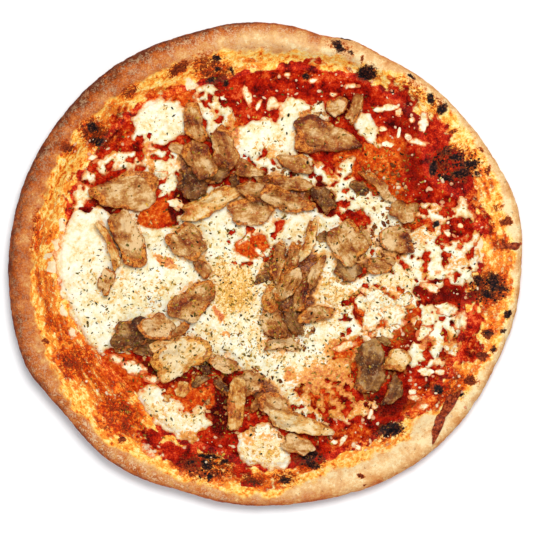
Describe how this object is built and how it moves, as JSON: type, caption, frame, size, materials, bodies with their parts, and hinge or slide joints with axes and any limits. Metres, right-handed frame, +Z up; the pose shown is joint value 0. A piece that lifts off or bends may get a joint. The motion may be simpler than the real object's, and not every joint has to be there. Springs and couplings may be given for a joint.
{
  "type": "chicken kebab pizza",
  "caption": "Round thin pizza with a puffed, charred rim, tomato sauce, melted cheese and sliced kebab chicken with dried herbs.",
  "frame": {"origin": "centre of the pizza's box, on the surface it lies on", "axes": "+Z up from the table; +X to the right and +Y away, as the pizza is seen from above with its thickest, darkest rim at the left"},
  "size_m": [0.2998, 0.2822, 0.0214],
  "materials": {
    "crust": "floury baked dough, tan to golden with brown and charred spots",
    "sauce": "wet tomato sauce, glossy and lumpy",
    "cheese": "melted cheese, creamy, soft sheen, herb flakes",
    "chicken_tan": "grilled sliced chicken, tan with browned edges, oily sheen",
    "chicken_pale": "grilled sliced chicken, pale with browned edges, oily sheen",
    "chicken_dark": "grilled sliced chicken, dark brown, oily sheen",
    "burnt": "dried burnt strip, dark red-brown"
  },
  "bodies": {
    "root": {"crust": "crust", "sauce": "sauce", "cheese": "cheese", "cheese_patch_1": "cheese", "cheese_patch_2": "cheese", "cheese_patch_3": "cheese", "burnt_strip": "burnt", "chicken_01": "chicken_tan", "chicken_02": "chicken_pale", "chicken_03": "chicken_tan", "chicken_04": "chicken_tan", "chicken_05": "chicken_tan", "chicken_06": "chicken_dark", "chicken_07": "chicken_tan", "chicken_08": "chicken_dark", "chicken_09": "chicken_tan", "chicken_10": "chicken_pale", "chicken_11": "chicken_tan", "chicken_12": "chicken_tan", "chicken_13": "chicken_tan", "chicken_14": "chicken_tan", "chicken_15": "chicken_tan", "chicken_16": "chicken_tan", "chicken_17": "chicken_pale", "chicken_18": "chicken_tan", "chicken_19": "chicken_tan", "chicken_20": "chicken_dark", "chicken_21": "chicken_tan", "chicken_22": "chicken_dark", "chicken_23": "chicken_dark", "chicken_24": "chicken_tan", "chicken_25": "chicken_tan", "chicken_26": "chicken_tan", "chicken_27": "chicken_dark", "chicken_28": "chicken_dark", "chicken_29": "chicken_tan", "chicken_30": "chicken_dark", "chicken_31": "chicken_dark", "chicken_32": "chicken_tan", "chicken_33": "chicken_pale", "chicken_34": "chicken_tan", "chicken_35": "chicken_tan", "chicken_36": "chicken_pale", "chicken_37": "chicken_tan", "chicken_38": "chicken_dark", "chicken_39": "chicken_tan", "chicken_40": "chicken_pale", "chicken_41": "chicken_pale", "chicken_42": "chicken_tan", "chicken_43": "chicken_tan", "chicken_44": "chicken_tan", "chicken_45": "chicken_tan", "chicken_46": "chicken_tan", "chicken_47": "chicken_pale", "chicken_48": "chicken_tan", "chicken_49": "chicken_tan", "chicken_50": "chicken_tan", "chicken_51": "chicken_dark", "chicken_52": "chicken_pale", "chicken_53": "chicken_dark"}
  },
  "joints": []
}
